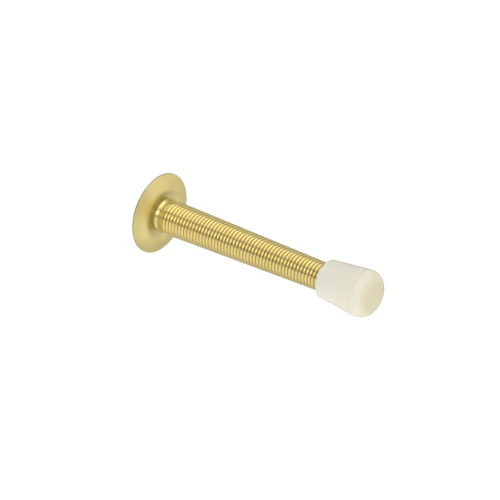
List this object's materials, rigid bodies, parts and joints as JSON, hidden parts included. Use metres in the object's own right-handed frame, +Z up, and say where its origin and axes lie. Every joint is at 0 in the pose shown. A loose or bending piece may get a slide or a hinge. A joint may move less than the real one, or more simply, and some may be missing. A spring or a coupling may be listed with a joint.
{
  "type": "spring door stop",
  "caption": "Wall-mounted spring door stop: dished round base, threaded hub, close-wound coil spring and flared vinyl tip cap; the spring bends in any direction.",
  "frame": {"origin": "on the wall, in the middle of the base plate rim's flat land at its lowest point; the stop's own axis is 12.2 mm above it", "axes": "+X out of the wall, parallel to the spring, towards the tip; +Z up; +Y to the side"},
  "size_m": [0.0818, 0.0254, 0.0254],
  "materials": {
    "brass_plate": "satin, clear-coated pale brass",
    "brass_hub": "polished turned brass",
    "brass_wire": "bright drawn wire, brass finish",
    "vinyl": "cream moulded soft vinyl, satin"
  },
  "bodies": {
    "base": {"base_plate": "brass_plate", "hub": "brass_hub", "spring_root_coils": "brass_wire"},
    "link_01": {"spring_coils_01": "brass_wire"},
    "link_02": {"spring_coils_02": "brass_wire"},
    "link_03": {"spring_coils_03": "brass_wire"},
    "link_04": {"spring_coils_04": "brass_wire"},
    "link_05": {"spring_coils_05": "brass_wire"},
    "link_06": {"spring_coils_06": "brass_wire"},
    "link_07": {"spring_coils_07": "brass_wire"},
    "link_08": {"spring_coils_08": "brass_wire"},
    "link_09": {"spring_coils_09": "brass_wire"},
    "link_10": {"spring_coils_10": "brass_wire"},
    "link_11": {"spring_coils_11": "brass_wire"},
    "link_12": {"spring_coils_12": "brass_wire"},
    "link_13": {"spring_coils_13": "brass_wire"},
    "link_14": {"spring_coils_14": "brass_wire"},
    "link_15": {"spring_coils_15": "brass_wire"},
    "link_16": {"spring_coils_16": "brass_wire"},
    "link_17": {"spring_coils_17": "brass_wire"},
    "link_18": {"spring_coils_18": "brass_wire"},
    "link_19": {"spring_coils_19": "brass_wire"},
    "link_20": {"spring_coils_20": "brass_wire"},
    "link_21": {"spring_coils_21": "brass_wire"},
    "tip": {"spring_tip_coils": "brass_wire", "tip_cap": "vinyl"}
  },
  "joints": [
    {"name": "bend_up_down", "type": "hinge", "parent": "base", "child": "link_01", "pos_m": [0.01295, 0, 0.0122], "axis": [0, -1, 0], "range_deg": [-5.45, 5.45], "stiffness_Nm_per_rad": 0.5, "deforming": ["spring_root_coils", "spring_coils_01"]},
    {"name": "bend_sideways", "type": "hinge", "parent": "link_01", "child": "link_02", "pos_m": [0.01532, 0, 0.0122], "axis": [0, 0, 1], "range_deg": [-5.45, 5.45], "stiffness_Nm_per_rad": 0.5, "deforming": ["spring_coils_02"]},
    {"name": "bend_up_down_02", "type": "hinge", "parent": "link_02", "child": "link_03", "pos_m": [0.01768, 0, 0.0122], "axis": [0, -1, 0], "range_deg": [-5.45, 5.45], "stiffness_Nm_per_rad": 0.5, "deforming": ["spring_coils_03"]},
    {"name": "bend_sideways_02", "type": "hinge", "parent": "link_03", "child": "link_04", "pos_m": [0.02004, 0, 0.0122], "axis": [0, 0, 1], "range_deg": [-5.45, 5.45], "stiffness_Nm_per_rad": 0.5, "deforming": ["spring_coils_04"]},
    {"name": "bend_up_down_03", "type": "hinge", "parent": "link_04", "child": "link_05", "pos_m": [0.0224, 0, 0.0122], "axis": [0, -1, 0], "range_deg": [-5.45, 5.45], "stiffness_Nm_per_rad": 0.5, "deforming": ["spring_coils_05"]},
    {"name": "bend_sideways_03", "type": "hinge", "parent": "link_05", "child": "link_06", "pos_m": [0.02476, 0, 0.0122], "axis": [0, 0, 1], "range_deg": [-5.45, 5.45], "stiffness_Nm_per_rad": 0.5, "deforming": ["spring_coils_06"]},
    {"name": "bend_up_down_04", "type": "hinge", "parent": "link_06", "child": "link_07", "pos_m": [0.02712, 0, 0.0122], "axis": [0, -1, 0], "range_deg": [-5.45, 5.45], "stiffness_Nm_per_rad": 0.5, "deforming": ["spring_coils_07"]},
    {"name": "bend_sideways_04", "type": "hinge", "parent": "link_07", "child": "link_08", "pos_m": [0.02949, 0, 0.0122], "axis": [0, 0, 1], "range_deg": [-5.45, 5.45], "stiffness_Nm_per_rad": 0.5, "deforming": ["spring_coils_08"]},
    {"name": "bend_up_down_05", "type": "hinge", "parent": "link_08", "child": "link_09", "pos_m": [0.03185, 0, 0.0122], "axis": [0, -1, 0], "range_deg": [-5.45, 5.45], "stiffness_Nm_per_rad": 0.5, "deforming": ["spring_coils_09"]},
    {"name": "bend_sideways_05", "type": "hinge", "parent": "link_09", "child": "link_10", "pos_m": [0.03421, 0, 0.0122], "axis": [0, 0, 1], "range_deg": [-5.45, 5.45], "stiffness_Nm_per_rad": 0.5, "deforming": ["spring_coils_10"]},
    {"name": "bend_up_down_06", "type": "hinge", "parent": "link_10", "child": "link_11", "pos_m": [0.03657, 0, 0.0122], "axis": [0, -1, 0], "range_deg": [-5.45, 5.45], "stiffness_Nm_per_rad": 0.5, "deforming": ["spring_coils_11"]},
    {"name": "bend_sideways_06", "type": "hinge", "parent": "link_11", "child": "link_12", "pos_m": [0.03893, 0, 0.0122], "axis": [0, 0, 1], "range_deg": [-5.45, 5.45], "stiffness_Nm_per_rad": 0.5, "deforming": ["spring_coils_12"]},
    {"name": "bend_up_down_07", "type": "hinge", "parent": "link_12", "child": "link_13", "pos_m": [0.0413, 0, 0.0122], "axis": [0, -1, 0], "range_deg": [-5.45, 5.45], "stiffness_Nm_per_rad": 0.5, "deforming": ["spring_coils_13"]},
    {"name": "bend_sideways_07", "type": "hinge", "parent": "link_13", "child": "link_14", "pos_m": [0.04366, 0, 0.0122], "axis": [0, 0, 1], "range_deg": [-5.45, 5.45], "stiffness_Nm_per_rad": 0.5, "deforming": ["spring_coils_14"]},
    {"name": "bend_up_down_08", "type": "hinge", "parent": "link_14", "child": "link_15", "pos_m": [0.04602, 0, 0.0122], "axis": [0, -1, 0], "range_deg": [-5.45, 5.45], "stiffness_Nm_per_rad": 0.5, "deforming": ["spring_coils_15"]},
    {"name": "bend_sideways_08", "type": "hinge", "parent": "link_15", "child": "link_16", "pos_m": [0.04838, 0, 0.0122], "axis": [0, 0, 1], "range_deg": [-5.45, 5.45], "stiffness_Nm_per_rad": 0.5, "deforming": ["spring_coils_16"]},
    {"name": "bend_up_down_09", "type": "hinge", "parent": "link_16", "child": "link_17", "pos_m": [0.05074, 0, 0.0122], "axis": [0, -1, 0], "range_deg": [-5.45, 5.45], "stiffness_Nm_per_rad": 0.5, "deforming": ["spring_coils_17"]},
    {"name": "bend_sideways_09", "type": "hinge", "parent": "link_17", "child": "link_18", "pos_m": [0.05311, 0, 0.0122], "axis": [0, 0, 1], "range_deg": [-5.45, 5.45], "stiffness_Nm_per_rad": 0.5, "deforming": ["spring_coils_18"]},
    {"name": "bend_up_down_10", "type": "hinge", "parent": "link_18", "child": "link_19", "pos_m": [0.05547, 0, 0.0122], "axis": [0, -1, 0], "range_deg": [-5.45, 5.45], "stiffness_Nm_per_rad": 0.5, "deforming": ["spring_coils_19"]},
    {"name": "bend_sideways_10", "type": "hinge", "parent": "link_19", "child": "link_20", "pos_m": [0.05783, 0, 0.0122], "axis": [0, 0, 1], "range_deg": [-5.45, 5.45], "stiffness_Nm_per_rad": 0.5, "deforming": ["spring_coils_20"]},
    {"name": "bend_up_down_11", "type": "hinge", "parent": "link_20", "child": "link_21", "pos_m": [0.06019, 0, 0.0122], "axis": [0, -1, 0], "range_deg": [-5.45, 5.45], "stiffness_Nm_per_rad": 0.5, "deforming": ["spring_coils_21"]},
    {"name": "bend_sideways_11", "type": "hinge", "parent": "link_21", "child": "tip", "pos_m": [0.06255, 0, 0.0122], "axis": [0, 0, 1], "range_deg": [-5.45, 5.45], "stiffness_Nm_per_rad": 0.5, "deforming": ["spring_tip_coils"]}
  ],
  "couplings": [
    {"joint": "bend_up_down_02", "follows": "bend_up_down", "ratio": 1},
    {"joint": "bend_sideways_02", "follows": "bend_sideways", "ratio": 1},
    {"joint": "bend_up_down_03", "follows": "bend_up_down", "ratio": 1},
    {"joint": "bend_sideways_03", "follows": "bend_sideways", "ratio": 1},
    {"joint": "bend_up_down_04", "follows": "bend_up_down", "ratio": 1},
    {"joint": "bend_sideways_04", "follows": "bend_sideways", "ratio": 1},
    {"joint": "bend_up_down_05", "follows": "bend_up_down", "ratio": 1},
    {"joint": "bend_sideways_05", "follows": "bend_sideways", "ratio": 1},
    {"joint": "bend_up_down_06", "follows": "bend_up_down", "ratio": 1},
    {"joint": "bend_sideways_06", "follows": "bend_sideways", "ratio": 1},
    {"joint": "bend_up_down_07", "follows": "bend_up_down", "ratio": 1},
    {"joint": "bend_sideways_07", "follows": "bend_sideways", "ratio": 1},
    {"joint": "bend_up_down_08", "follows": "bend_up_down", "ratio": 1},
    {"joint": "bend_sideways_08", "follows": "bend_sideways", "ratio": 1},
    {"joint": "bend_up_down_09", "follows": "bend_up_down", "ratio": 1},
    {"joint": "bend_sideways_09", "follows": "bend_sideways", "ratio": 1},
    {"joint": "bend_up_down_10", "follows": "bend_up_down", "ratio": 1},
    {"joint": "bend_sideways_10", "follows": "bend_sideways", "ratio": 1},
    {"joint": "bend_up_down_11", "follows": "bend_up_down", "ratio": 1},
    {"joint": "bend_sideways_11", "follows": "bend_sideways", "ratio": 1}
  ]
}
